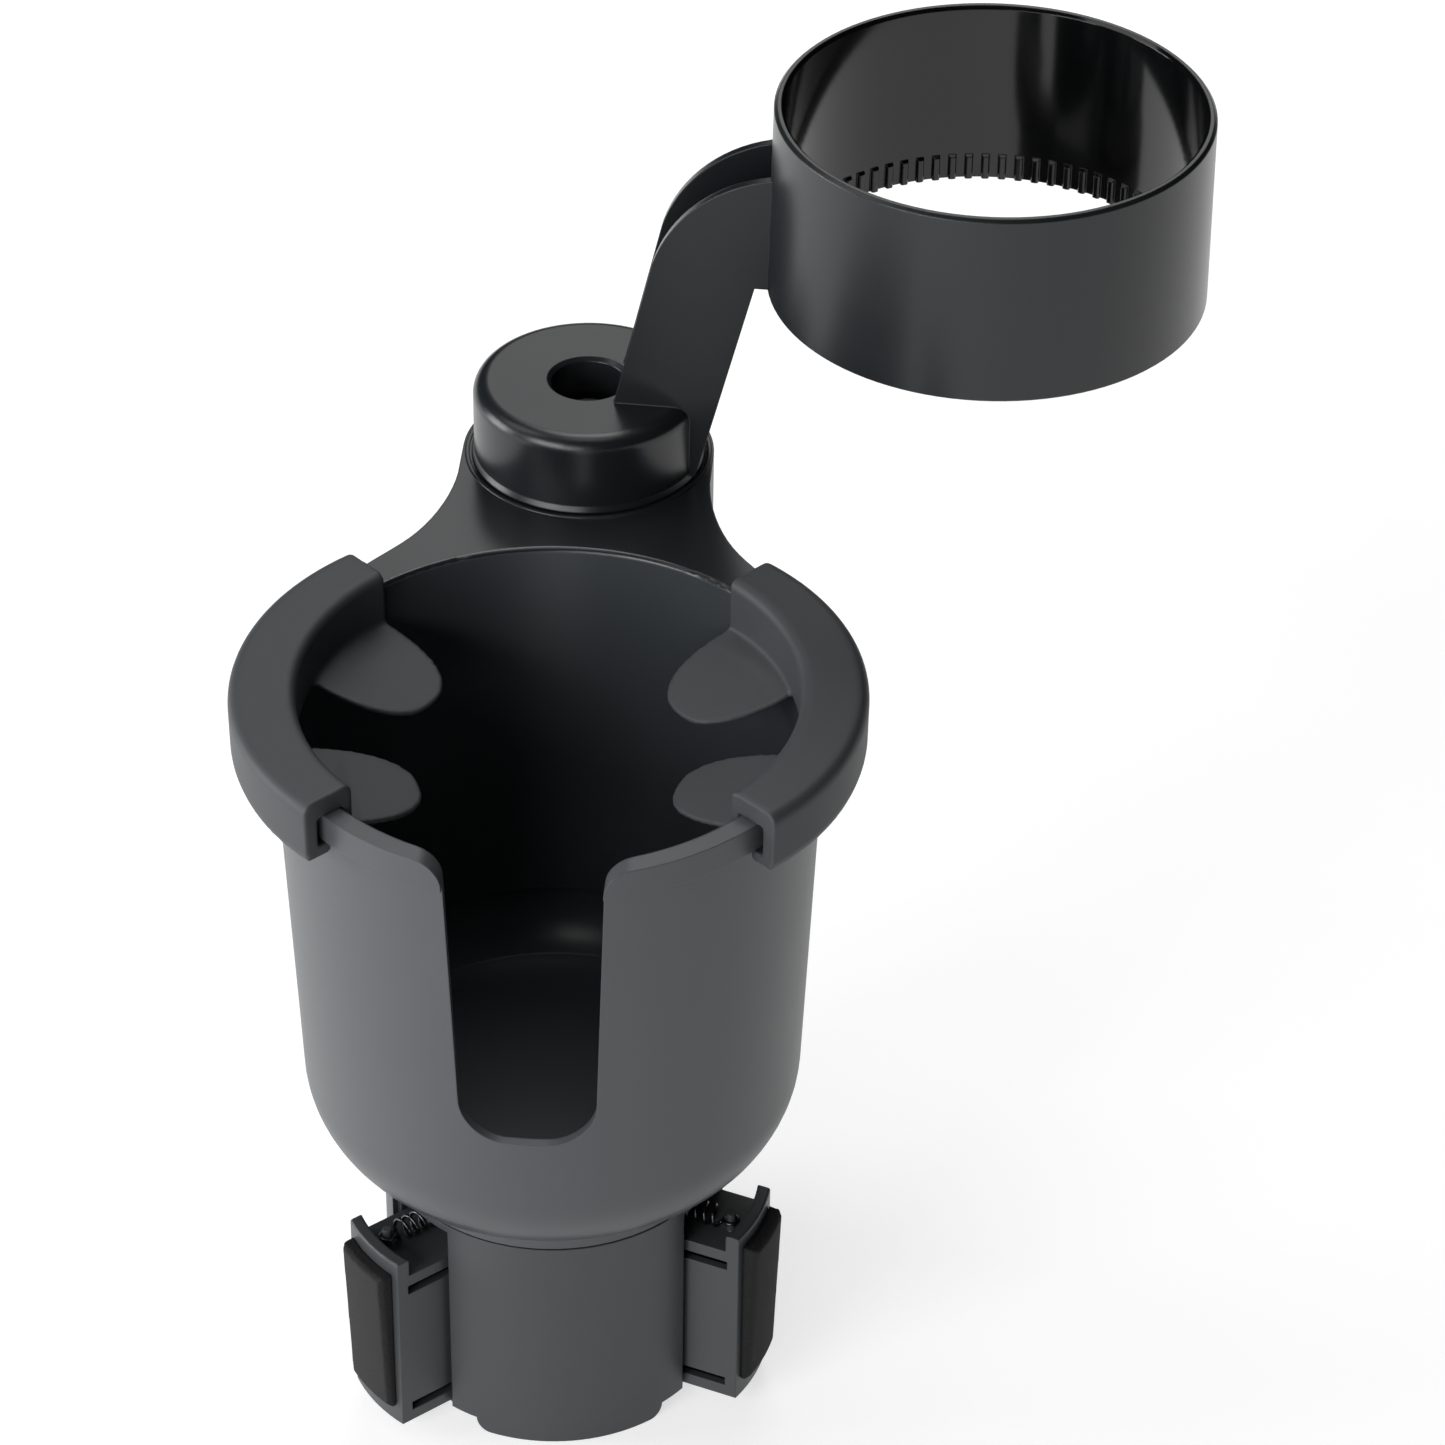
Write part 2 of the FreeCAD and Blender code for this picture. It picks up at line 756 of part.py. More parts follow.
def make_boss_insert():
    bottom = rim_top - boss_insert_depth
    insert = tube(boss_insert_radius, screw_thread_radius, bottom, rim_top, 0, boss_distance)
    outer = boss_insert_radius + 1
    groove = tube(outer, boss_insert_radius - 0.4, bottom + 4, bottom + 6, 0, boss_distance)
    return insert.cut(groove)


# Rim clips: a channel over the rim with a hook under the band, and two flaps that point inwards

def make_clip(side):
    middle = (clip_outer - clip_round * (1 - math.cos(math.pi / 4)), clip_top - clip_round * (1 - math.sin(math.pi / 4)))
    section = profile(
        (clip_inner, clip_inner_bottom),
        (clip_inner + clip_leg, clip_inner_bottom),
        (rim_inner - 0.1, clip_channel_top),
        (clip_channel_outer, clip_channel_top),
        (clip_channel_outer, clip_hook_top),
        (clip_hook_inner, clip_hook_top),
        (clip_hook_inner, clip_bottom),
        (clip_outer - 1.4, clip_bottom),
        (clip_outer, clip_bottom + 1.8),
        (clip_outer, clip_top - clip_round),
        (middle[0], middle[1], clip_outer - clip_round, clip_top),
        (clip_inner + 1.0, clip_top),
        (clip_inner, clip_top - 1.0),
    )
    half = clip_half_angles[side]
    centre = clip_centres[side]
    clip = rotated(turned(section, 2 * half), centre - half)
    for sign in (-1, 1):
        clip = clip.fuse(rotated(make_flap(), centre + sign * flap_angle))
    clip = clip.cut(neck_solid(neck_to_clip, clip_bottom - 20, rim_top + 0.05))
    return clip.removeSplitter()


def make_flap():
    """Soft tongue with a round tip, drawn towards +X and sloping down to its tip."""
    root = flap_root + 0.4
    straight = root - 12.5
    near, far = flap_tip + 3.2, 0.72 * flap_half_width
    a = Vector(root, -flap_half_width, 0)
    b = Vector(straight, -flap_half_width, 0)
    c = Vector(straight, flap_half_width, 0)
    d = Vector(root, flap_half_width, 0)
    curve = Part.BSplineCurve()
    curve.interpolate([b, Vector(near, -far, 0), Vector(flap_tip, 0, 0), Vector(near, far, 0), c])
    edges = [Part.makeLine(a, b), curve.toShape(), Part.makeLine(c, d), Part.makeLine(d, a)]
    face = Part.Face(Part.Wire(edges))
    flap = face.extrude(Vector(0, 0, flap_thickness))
    slope = math.degrees(math.atan2(flap_root_height - flap_tip_height, flap_root - flap_tip))
    flap.translate(Vector(-flap_root, 0, -flap_thickness))
    flap.rotate(ORIGIN, Vector(0, 1, 0), -slope)
    flap.translate(Vector(flap_root, 0, flap_root_height))
    keep = turned(profile((0, 120), (clip_inner + clip_leg - 0.3, 120), (clip_inner + clip_leg - 0.3, 170), (0, 170)))
    return flap.common(keep)


# Swivel cap, two arm plates and the ring, one moulding, drawn along +X from the cap's axis

def make_ring_arm():
    cap = make_cap()
    plates = []
    for side in (-1, 1):
        y0, y1 = sorted((side * (plate_outer - plate_thickness), side * plate_outer))
        face = plate_face()
        face.translate(Vector(0, y0, 0))
        plates.append(face.extrude(Vector(0, y1 - y0, 0)))
    ring_inside = moved(turned(ring_inner_face()), ring_reach, 0)
    plates = [plate.cut(ring_inside) for plate in plates]
    ring = moved(make_ring(), ring_reach, 0)
    arm = joined([cap, ring] + plates)
    arm = arm.cut(cylinder(hole_radius, hole_floor, cap_top + 40))
    return moved(rotated(arm, arm_direction), 0, boss_distance)


def make_cap():
    corner = (cap_radius - cap_round, cap_top - cap_round)
    middle = on_circle(corner, cap_round, 45)
    skirt_inner = cap_radius - cap_wall
    tube_outer = hole_radius + hole_wall
    ceiling = cap_top - cap_top_wall
    lip = 0.8
    return turned(profile(
        (shoulder_screw_radius + swivel_clearance, flange_bottom),
        (tube_outer, flange_bottom),
        (tube_outer, ceiling),
        (skirt_inner, ceiling),
        (skirt_inner, cap_bottom),
        (cap_radius + 0.5, cap_bottom),
        (cap_radius, cap_bottom + 1.2),
        (cap_radius, cap_top - cap_round),
        (middle[0], middle[1], cap_radius - cap_round, cap_top),
        (hole_radius + lip, cap_top),
        (hole_radius, cap_top - lip),
        (hole_radius, hole_floor),
        (shoulder_screw_radius + swivel_clearance, hole_floor),
    ))


def plate_face():
    """Outline of an arm plate, from the cap's top and side up and out to the ring."""
    start = Vector(5.9, 0, cap_top - plate_join)
    knee = Vector(13.4, 0, 203.8)
    bend = Vector(20.8, 0, 215.9)
    shoulder = Vector(36.0, 0, 223.4)
    join = ring_reach - ring_radius_top + ring_wall + 1.5
    top_end = Vector(join, 0, 223.7)
    low_end = Vector(join, 0, ring_bottom)
    elbow = Vector(32.8, 0, ring_bottom)
    toe = Vector(22.0, 0, cap_bottom + 0.6)
    inside_toe = Vector(cap_radius - cap_wall - 1.2, 0, cap_bottom + 0.6)
    inside_top = Vector(cap_radius - cap_wall - 1.2, 0, cap_top - plate_join)
    edges = [
        Part.makeLine(start, knee),
        Part.Arc(knee, bend, shoulder).toShape(),
        Part.makeLine(shoulder, top_end),
        Part.makeLine(top_end, low_end),
        Part.makeLine(low_end, elbow),
        Part.makeLine(elbow, toe),
        Part.makeLine(toe, inside_toe),
        Part.makeLine(inside_toe, inside_top),
        Part.makeLine(inside_top, start),
    ]
    return Part.Face(Part.Wire(edges))


def ring_inner_face():
    top, bottom = ring_radius_top - ring_wall, ring_radius_bottom - ring_wall
    slope = (bottom - top) / (ring_top - ring_bottom)
    return profile(
        (0, ring_bottom - 1),
        (bottom + slope - 0.3, ring_bottom - 1),
        (top - slope - 0.3, ring_top + 1),
        (0, ring_top + 1),
    )


def make_ring():
    top_inner, bottom_inner = ring_radius_top - ring_wall, ring_radius_bottom - ring_wall
    ring = turned(profile(
        (bottom_inner, ring_bottom),
        (ring_radius_bottom - 0.3, ring_bottom),
        (ring_radius_bottom, ring_bottom + 0.3),
        (ring_radius_top, ring_top - ring_edge),
        (ring_radius_top - ring_edge, ring_top),
        (top_inner + ring_edge, ring_top),
        (top_inner, ring_top - ring_edge),
    ))
    tip = bottom_inner - grip_rib_depth
    half = grip_rib_width / 2
    base = bottom_inner + 0.6
    points = [(base, -half), (tip + 0.3, -half), (tip, -half + 0.3), (tip, half - 0.3), (tip + 0.3, half), (base, half)]
    rib = plan(points, ring_bottom, ring_bottom + grip_rib_height)
    slope_cut = profile(
        (tip - 1, ring_bottom + grip_rib_height - 1.0),
        (base, ring_bottom + grip_rib_height + 0.4),
        (tip - 1, ring_bottom + grip_rib_height + 2),
    )
    slope_cut.translate(Vector(0, -half - 1, 0))
    rib = rib.cut(slope_cut.extrude(Vector(0, 2 * half + 2, 0)))
    ribs = [rotated(rib, 360.0 * k / grip_rib_count) for k in range(grip_rib_count)]
    return ring.multiFuse(ribs)


# Swivel screw, washer and friction disc

def make_swivel_screw():
    washer_top = hole_floor + 0.05 + swivel_washer_thickness
    head_top = washer_top + screw_head_height
    disc_top_z = rim_top + friction_disc_thickness
    screw = cylinder(screw_head_radius, washer_top, head_top, 0, boss_distance)
    screw = screw.makeChamfer(0.5, edges_near(screw, lambda e: e.BoundBox.ZMin > head_top - 0.1))
    screw = screw.fuse(cylinder(shoulder_screw_radius, rim_top, washer_top, 0, boss_distance))
    screw = screw.fuse(cylinder(screw_thread_radius, screw_tip, rim_top, 0, boss_distance))
    return screw.cut(hexagon(socket_radius, head_top - socket_depth, head_top + 1, 0, boss_distance))


def make_swivel_washer():
    bottom = hole_floor + 0.05
    top = bottom + swivel_washer_thickness
    return tube(swivel_washer_radius, shoulder_screw_radius, bottom, top, 0, boss_distance)


def make_friction_disc():
    top = rim_top + friction_disc_thickness
    return tube(friction_disc_radius, shoulder_screw_radius, rim_top, top, 0, boss_distance)


def main():
    os.makedirs("parts", exist_ok=True)
    nodes = {
        "base_housing": make_housing(),
        "base_cover": make_cover(),
        "cover_screws": make_cover_screws(),
        "bearing_bush": make_bush(),
        "scroll_disc": make_scroll_disc(),
        "centre_bolt": make_bolt(),
        "centre_washer": make_washer(),
        "hub_insert": make_hub_insert(),
        "cup_body": make_cup(),
        "rim_clip_left": make_clip("left"),
        "rim_clip_right": make_clip("right"),
        "ring_arm": make_ring_arm(),
        "boss_insert": make_boss_insert(),
        "friction_disc": make_friction_disc(),
        "swivel_washer": make_swivel_washer(),
        "swivel_screw": make_swivel_screw(),
    }
    for name, angle in zip(("left", "right", "rear"), base_arm_angles):
        nodes["arm_slider_" + name] = rotated(make_slider(), angle)
        nodes["grip_pad_" + name] = rotated(make_pad(), angle)
        nodes["drive_pin_" + name] = rotated(make_pin(), angle)
        nodes["arm_spring_" + name] = rotated(make_spring(), angle)
    for name, shape in nodes.items():
        shape.exportStep(os.path.join("parts", name + ".step"))
        print(name, len(shape.Solids), round(shape.Volume), shape.isValid())


main()
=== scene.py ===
# %% [markdown]
# This lesson dresses a cup holder expander. The construction program has already made every rigid piece at its
# true size, so the first step loads that model as a frame. Each piece rides on the body that carries it, and
# nothing from the frame is moved.

# %% Load the frame
import math
import bpy
import bmesh
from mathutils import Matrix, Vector


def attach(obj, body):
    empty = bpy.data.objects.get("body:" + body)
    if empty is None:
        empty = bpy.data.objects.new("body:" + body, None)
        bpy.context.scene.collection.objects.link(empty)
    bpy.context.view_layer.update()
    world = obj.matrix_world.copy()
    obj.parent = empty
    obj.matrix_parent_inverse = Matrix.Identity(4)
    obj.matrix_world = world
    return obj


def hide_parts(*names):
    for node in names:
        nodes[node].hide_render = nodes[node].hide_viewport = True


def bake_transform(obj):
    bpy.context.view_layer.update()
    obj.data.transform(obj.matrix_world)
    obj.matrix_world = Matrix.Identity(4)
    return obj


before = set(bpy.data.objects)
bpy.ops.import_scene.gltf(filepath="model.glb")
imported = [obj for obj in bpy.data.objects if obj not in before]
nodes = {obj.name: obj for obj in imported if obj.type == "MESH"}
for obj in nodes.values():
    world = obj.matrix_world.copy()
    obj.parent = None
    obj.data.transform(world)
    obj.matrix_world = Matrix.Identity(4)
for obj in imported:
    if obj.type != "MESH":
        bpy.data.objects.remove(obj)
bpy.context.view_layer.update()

# %% [markdown]
# Finishes are worked out with arithmetic on node outputs. Writing that arithmetic as Python keeps it readable, so
# this small class wraps one output and turns plus, minus, times and divide into Math nodes. The reflected forms
# are there too, so that one minus a mask works as written.

# %% Arithmetic on shader values
class Value:
    """An output socket of a finish, ready for arithmetic."""

    def __init__(self, finish, socket):
        self.finish = finish
        self.socket = socket

    def _maths(self, operation, first, second):
        return self.finish.node("ShaderNodeMath", {"operation": operation}, {0: first, 1: second})

    def __add__(self, other):
        return self._maths("ADD", self, other)

    def __radd__(self, other):
        return self._maths("ADD", other, self)

    def __sub__(self, other):
        return self._maths("SUBTRACT", self, other)

    def __rsub__(self, other):
        return self._maths("SUBTRACT", other, self)

    def __mul__(self, other):
        return self._maths("MULTIPLY", self, other)

    def __rmul__(self, other):
        return self._maths("MULTIPLY", other, self)

    def __truediv__(self, other):
        return self._maths("DIVIDE", self, other)

    def __pow__(self, other):
        return self._maths("POWER", self, other)

    def __lt__(self, other):
        return self._maths("LESS_THAN", self, other)

    def __gt__(self, other):
        return self._maths("GREATER_THAN", self, other)


print("values can be added, subtracted, multiplied, divided, raised and compared")

# %% [markdown]
# A finish is one material. It always ends in the Principled shader, because that shader carries over to other
# programs. One method adds any node: it takes the node's type, its settings, and the values or links of its
# sockets. The patterns that several finishes share, such as fine grain and soft mottling, are methods as well.
# The Mix node has sockets for numbers, vectors and colours under the same names, so its colour sockets are
# picked by their places.

# %% A finish and its patterns
MIX_SHARE, MIX_FIRST, MIX_SECOND, MIX_RESULT = 0, 6, 7, 2
EDGE_SAMPLES = 6


class Finish:
    """A material under construction."""

    def __init__(self, name):
        self.material = bpy.data.materials.new(name)
        self.material.use_nodes = True
        self.tree = self.material.node_tree
        self.tree.nodes.clear()
        self.place = self.node("ShaderNodeTexCoord", {}, {}, "Object")

    def node(self, kind, settings, sockets, output=0):
        made = self.tree.nodes.new(kind)
        for name, value in settings.items():
            setattr(made, name, value)
        for name, value in sockets.items():
            if isinstance(value, Value):
                self.tree.links.new(value.socket, made.inputs[name])
            else:
                made.inputs[name].default_value = value
        return Value(self, made.outputs[output])

    def noise(self, size, detail=2.0, roughness=0.5):
        """Cloudy pattern from 0 to 1. Size is the width of one cloud in metres."""
        sockets = {"Vector": self.place, "Scale": 1.0 / size, "Detail": detail, "Roughness": roughness}
        return self.node("ShaderNodeTexNoise", {}, sockets, "Fac")

    def cells(self, size):
        """Distance to the nearest of many scattered points, as in the pores of a foam."""
        sockets = {"Vector": self.place, "Scale": 1.0 / size}
        return self.node("ShaderNodeTexVoronoi", {"feature": "F1"}, sockets, "Distance")

    def between(self, value, low, high):
        """Value stretched so that low becomes 0 and high becomes 1, and clipped there."""
        sockets = {"Value": value, "From Min": low, "From Max": high, "To Min": 0.0, "To Max": 1.0}
        return self.node("ShaderNodeMapRange", {"clamp": True}, sockets, "Result")

    def mix(self, share, first, second):
        """Colour between two colours."""
        sockets = {MIX_SHARE: share, MIX_FIRST: first, MIX_SECOND: second}
        return self.node("ShaderNodeMix", {"data_type": "RGBA", "clamp_factor": True}, sockets, MIX_RESULT)

    def rounded(self, radius):
        """Normal that turns round every edge as if it had that radius."""
        return self.node("ShaderNodeBevel", {"samples": EDGE_SAMPLES}, {"Radius": radius}, "Normal")

    def axis(self, letter):
        """One coordinate of the place on the object."""
        return self.node("ShaderNodeSeparateXYZ", {}, {0: self.place}, letter)

    def from_upright(self, x, y):
        """Distance from an upright axis."""
        return ((self.axis("X") - x) ** 2.0 + (self.axis("Y") - y) ** 2.0) ** 0.5

    def facing_out(self):
        """1 where the surface faces straight away from the cup's axis, 0 where it faces along it or up."""
        normal = self.node("ShaderNodeTexCoord", {}, {}, "Normal")
        across = self.node("ShaderNodeSeparateXYZ", {}, {0: normal}, "X")
        ahead = self.node("ShaderNodeSeparateXYZ", {}, {0: normal}, "Y")
        return (across * self.axis("X") + ahead * self.axis("Y")) / self.from_upright(0.0, 0.0)

    def bump(self, height, distance, strength=1.0, normal=None):
        """Normal of a surface whose relief is the height times the distance."""
        sockets = {"Height": height, "Distance": distance, "Strength": strength}
        if normal is not None:
            sockets["Normal"] = normal
        return self.node("ShaderNodeBump", {}, sockets, "Normal")

    def finish(self, sockets):
        """Close the material with its surface shader."""
        surface = self.node("ShaderNodeBsdfPrincipled", {}, sockets, "BSDF")
        output = self.tree.nodes.new("ShaderNodeOutputMaterial")
        self.tree.links.new(surface.socket, output.inputs["Surface"])
        print("finish:", self.material.name, "with", len(self.tree.nodes), "nodes")
        return self.material


def grey(level, warmth=0.0):
    """Nearly neutral colour. A little warmth lifts red, and a negative one lifts blue."""
    return (level * (1 + warmth), level, level * (1 - warmth), 1.0)


print("a finish has noise, cells, mix, rounded, axis, from_upright, facing_out and bump")

# %% [markdown]
# The cup, the base and the arms are moulded in near-black plastic, and their mould was spark-eroded to a fine
# satin. That shows as tiny even grain, a slightly uneven sheen, and edges that catch a thin line of light. The
# edges are rounded in the shading only, because a moulding's corner is a few tenths of a millimetre. The core that
# forms the inside of the cup is polished so that it lets go of the moulding, which makes the inside smoother. The
# inside is also given a darker colour, as painted shade for the shade that falls inside the cup. A mask from the
# distance to the cup's axis tells the two faces of its wall apart. The flat top of the neck, which the cap turns
# on, is smooth too, and a second mask finds it by its height. Its colour is darker still, as painted shade for the
# cap's shadow and dark mirror image on it. The black has a faint blue cast, which the tints give.

# %% Satin moulded plastic
CUP_MOUTH_RADIUS = 0.0479
CUP_MOUTH_HEIGHT = 0.1557
CUP_DRAFT = 0.038
CUP_FLOOR = 0.0630
FACE_DEPTH = 0.0006
NECK_START = 0.030
INSIDE_PAINTED_SHADE = 0.048
NECK_TOP_PAINTED_SHADE = 0.019
COOL_TINT = -0.08
INSIDE_TINT = -0.12
SHEEN_CLOUD = 0.018
MOULD_GRAIN = 0.00042
FINEST_GRAIN = 0.00018
MOULD_RELIEF = 0.000035
MOULDED_EDGE = 0.00035
PLASTIC_IOR = 1.5


def satin_plastic(name, level, sheen_roughness, smooth_shaded_faces=False):
    finish = Finish(name)
    clouds = finish.noise(SHEEN_CLOUD, 3.0)
    grain = finish.noise(MOULD_GRAIN, 2.0, 0.6)
    fine = finish.noise(FINEST_GRAIN, 1.0)
    colour = finish.mix(clouds, grey(level * 0.94, COOL_TINT), grey(level * 1.06, COOL_TINT))
    roughness = sheen_roughness - 0.04 + clouds * 0.05 + grain * 0.05
    relief = grain * 0.7 + fine * 0.3
    if smooth_shaded_faces:
        height = finish.axis("Z")
        wall = CUP_MOUTH_RADIUS + (height - CUP_MOUTH_HEIGHT) * CUP_DRAFT + FACE_DEPTH
        neck_top = (finish.axis("Y") > NECK_START) * (height > CUP_MOUTH_HEIGHT - FACE_DEPTH)
        within = (finish.from_upright(0.0, 0.0) < wall) * (height > CUP_FLOOR - FACE_DEPTH) * (1 - neck_top)
        # Painted shade: the inside of the cup gets a darker colour.
        colour = finish.mix(within, colour, grey(INSIDE_PAINTED_SHADE, INSIDE_TINT))
        # Painted shade: the top of the neck gets a darker colour, for the cap's shadow and mirror image.
        colour = finish.mix(neck_top, colour, grey(NECK_TOP_PAINTED_SHADE, INSIDE_TINT))
        roughness = roughness - within * 0.10 - neck_top * 0.20
        relief = relief * (1 - (within + neck_top) * 0.8)
    normal = finish.bump(relief, MOULD_RELIEF, 0.55, finish.rounded(MOULDED_EDGE))
    sockets = {"Base Color": colour, "Roughness": roughness, "Normal": normal, "IOR": PLASTIC_IOR}
    return finish.finish(sockets)


cup_plastic = satin_plastic("satin_cup_plastic", 0.084, 0.42, smooth_shaded_faces=True)
base_plastic = satin_plastic("satin_base_plastic", 0.056, 0.42)
inner_plastic = satin_plastic("plain_black_plastic", 0.026, 0.50)

# %% [markdown]
# The ring, its arm and the cap come from a mould with a smoother face. Outside they have a soft gloss, and inside
# the ring the steel core of the mould was polished, so windows and lamps show there as clear shapes. The ring's
# inside is also given a much darker colour, as painted shade for the shade inside the ring. One material can hold
# both: the distance from the ring's axis, together with the height, tells the ring's inside apart.

# %% Smoother plastic of the ring and cap
RING_AXIS = (0.07559, 0.07811)
RING_INSIDE = 0.0399
RING_FOOT = 0.1995
RING_TINT = -0.16
GLOSS_CLOUD = 0.022
GLOSS_GRAIN = 0.00040
GLOSS_RELIEF = 0.00002


def ring_plastic_finish():
    finish = Finish("ring_plastic")
    polished_shaded_inside = (finish.from_upright(*RING_AXIS) < RING_INSIDE) * (finish.axis("Z") > RING_FOOT)
    clouds = finish.noise(GLOSS_CLOUD, 3.0)
    grain = finish.noise(GLOSS_GRAIN, 2.0, 0.6)
    outside = finish.mix(clouds, grey(0.011, RING_TINT), grey(0.015, RING_TINT))
    # Painted shade: the ring's inside gets a darker colour than its outside.
    colour = finish.mix(polished_shaded_inside, outside, grey(0.004, -0.10))
    roughness = 0.26 + clouds * 0.06 - polished_shaded_inside * 0.18
    relief = grain * (1 - polished_shaded_inside * 0.9)
    normal = finish.bump(relief, GLOSS_RELIEF, 0.45, finish.rounded(MOULDED_EDGE))
    sockets = {"Base Color": colour, "Roughness": roughness, "Normal": normal, "IOR": PLASTIC_IOR}
    return finish.finish(sockets)


ring_plastic = ring_plastic_finish()

# %% [markdown]
# The clips on the rim are a soft thermoplastic rubber. It is duller than the plastic of the cup, a little darker,
# and holds dust in faint patches, so its roughness and colour wander more.

# %% Rubber of the rim clips
RUBBER_CLOUD = 0.012
RUBBER_GRAIN = 0.00030
DUST_PATCH = 0.0011
DUST_LEVEL = 0.085


def rim_rubber_finish():
    finish = Finish("rim_rubber")
    clouds = finish.noise(RUBBER_CLOUD, 4.0, 0.6)
    grain = finish.noise(RUBBER_GRAIN, 2.0, 0.7)
    dust = finish.between(finish.noise(DUST_PATCH, 3.0, 0.7), 0.58, 0.80)
    colour = finish.mix(clouds, grey(0.052, COOL_TINT), grey(0.062, COOL_TINT))
    dusty = finish.mix(dust * 0.35, colour, grey(DUST_LEVEL, -0.02))
    roughness = 0.52 + clouds * 0.10 + dust * 0.08
    normal = finish.bump(grain, 0.00003, 0.6)
    sockets = {"Base Color": dusty, "Roughness": roughness, "Normal": normal, "IOR": 1.48}
    return finish.finish(sockets)


rim_rubber = rim_rubber_finish()

# %% [markdown]
# The grip pads are closed-cell foam rubber cut from sheet. The sheet's skin is smooth and a little dusty, and the
# cut edges are open to tiny pores, which swallow the light, so they look almost black. The direction in which the
# surface faces tells skin and cut apart.

# %% Foam of the grip pads
PORE = 0.00042
FOAM_LUMP = 0.0016
CUT_FACING, SKIN_FACING = 0.70, 0.93


def pad_foam_finish():
    finish = Finish("pad_foam")
    pores = finish.between(finish.cells(PORE), 0.15, 0.60)
    lumps = finish.noise(FOAM_LUMP, 3.0, 0.6)
    skin = finish.between(finish.facing_out(), CUT_FACING, SKIN_FACING)
    cut = finish.mix(pores * 0.8, grey(0.006), grey(0.013))
    face = finish.mix(pores * 0.5 + lumps * 0.5, grey(0.017), grey(0.030))
    colour = finish.mix(skin, cut, face)
    roughness = 0.78 + lumps * 0.15
    relief = pores * 0.6 + lumps * 0.4
    normal = finish.bump(relief, 0.00012, 0.8)
    sockets = {"Base Color": colour, "Roughness": roughness, "Normal": normal, "IOR": 1.4}
    return finish.finish(sockets)


pad_foam = pad_foam_finish()

# %% [markdown]
# The hardware is steel and brass. Machine cuts leave fine scratches, which change the roughness more than the
# colour. The return springs are drawn wire with a thin film of dark oil.

# %% Metals
METAL_CLOUD = 0.004
MACHINED_EDGE = 0.0002


def metal(name, colour_low, colour_high, base_roughness, grain_size):
    finish = Finish(name)
    clouds = finish.noise(METAL_CLOUD, 3.0)
    scratches = finish.noise(grain_size, 3.0, 0.7)
    colour = finish.mix(clouds, colour_low, colour_high)
    roughness = base_roughness + scratches * 0.14
    normal = finish.bump(scratches, 0.00001, 0.5, finish.rounded(MACHINED_EDGE))
    sockets = {"Base Color": colour, "Roughness": roughness, "Metallic": 1.0, "Normal": normal}
    return finish.finish(sockets)


plated_steel = metal("plated_steel", (0.50, 0.51, 0.53, 1), (0.62, 0.62, 0.63, 1), 0.24, 0.0005)
spring_wire = metal("oiled_spring_wire", (0.055, 0.056, 0.062, 1), (0.11, 0.11, 0.12, 1), 0.22, 0.0004)
brass = metal("turned_brass", (0.60, 0.42, 0.17, 1), (0.74, 0.55, 0.26, 1), 0.26, 0.0004)

# %% [markdown]
# The bush and the friction disc are a natural low-friction plastic. Light enters it a little, which makes it look
# milky, and a plain pale colour with a soft sheen is enough for pieces this small.

# %% Bearing plastic
def bearing_plastic_finish():
    finish = Finish("bearing_plastic")
    clouds = finish.noise(0.003, 3.0)
    colour = finish.mix(clouds, grey(0.55, 0.04), grey(0.68, 0.04))
    normal = finish.bump(finish.noise(0.0006), 0.00001, 0.4, finish.rounded(MACHINED_EDGE))
    sockets = {"Base Color": colour, "Roughness": 0.38 + clouds * 0.1, "Normal": normal, "IOR": PLASTIC_IOR}
    return finish.finish(sockets)


bearing_plastic = bearing_plastic_finish()

# %% [markdown]
# Every node from the frame now gets its finish by name. The soft pieces and the springs are left out here,
# because they are built again below.

# %% Give the rigid pieces their finishes
FINISH_OF = {
    "base_housing": base_plastic,
    "base_cover": inner_plastic,
    "cover_screws": plated_steel,
    "bearing_bush": bearing_plastic,
    "scroll_disc": inner_plastic,
    "centre_bolt": plated_steel,
    "centre_washer": plated_steel,
    "hub_insert": brass,
    "cup_body": cup_plastic,
    "ring_arm": ring_plastic,
    "boss_insert": brass,
    "friction_disc": bearing_plastic,
    "swivel_washer": plated_steel,
    "swivel_screw": plated_steel,
}
ARMS = {"left": -139.0, "right": -19.0, "rear": 101.0}
for arm in ARMS:
    FINISH_OF["arm_slider_" + arm] = base_plastic
    FINISH_OF["drive_pin_" + arm] = plated_steel


def paint(piece, material):
    piece.data.materials.clear()
    piece.data.materials.append(material)


for name, material in FINISH_OF.items():
    paint(nodes[name], material)
print("finishes given to", len(FINISH_OF), "nodes")

# %% [markdown]
# Everything that the lesson adds, whether a mesh, a lamp or the camera, is an object that shows some data and has
# to be linked to the scene. A mesh that is put together face by face is first turned into such data. Two helpers
# do this each time.

# %% Add an object to the scene
def add_object(name, data):
    made = bpy.data.objects.new(name, data)
    bpy.context.scene.collection.objects.link(made)
    return made


def mesh_data(name, mesh):
    """Data of a mesh that was put together here. The working mesh is freed."""
    data = bpy.data.meshes.new(name)
    mesh.to_mesh(data)
    mesh.free()
    return data


print("objects and mesh data can be added")

# %% [markdown]
# The rubber clips and the foam pads are soft, so no edge on them is sharp. Modelling every rounding by hand would
# be slow. Here a plain closed mesh is filled with small even cells by a voxel remesh, which also fuses pieces that
# overlap, and is then relaxed by a few rounds of smoothing. The edges melt to a radius of about one cell, and the
# shape stays where it was.

# %% Soften a solid
RELAX_SHARE = 0.5
SAME_CORNER = 1e-6


def softened(name, mesh, cell, rounds, material):
    piece = add_object(name, mesh)
    remesh = piece.modifiers.new("cells", "REMESH")
    remesh.mode = "VOXEL"
    remesh.voxel_size = cell
    relax = piece.modifiers.new("relax", "SMOOTH")
    relax.factor = RELAX_SHARE
    relax.iterations = rounds
    made = bpy.data.meshes.new_from_object(piece.evaluated_get(bpy.context.evaluated_depsgraph_get()))
    piece.modifiers.clear()
    piece.data = made
    made.shade_smooth()
    paint(piece, material)
    print(name, len(made.polygons), "faces")
    return piece


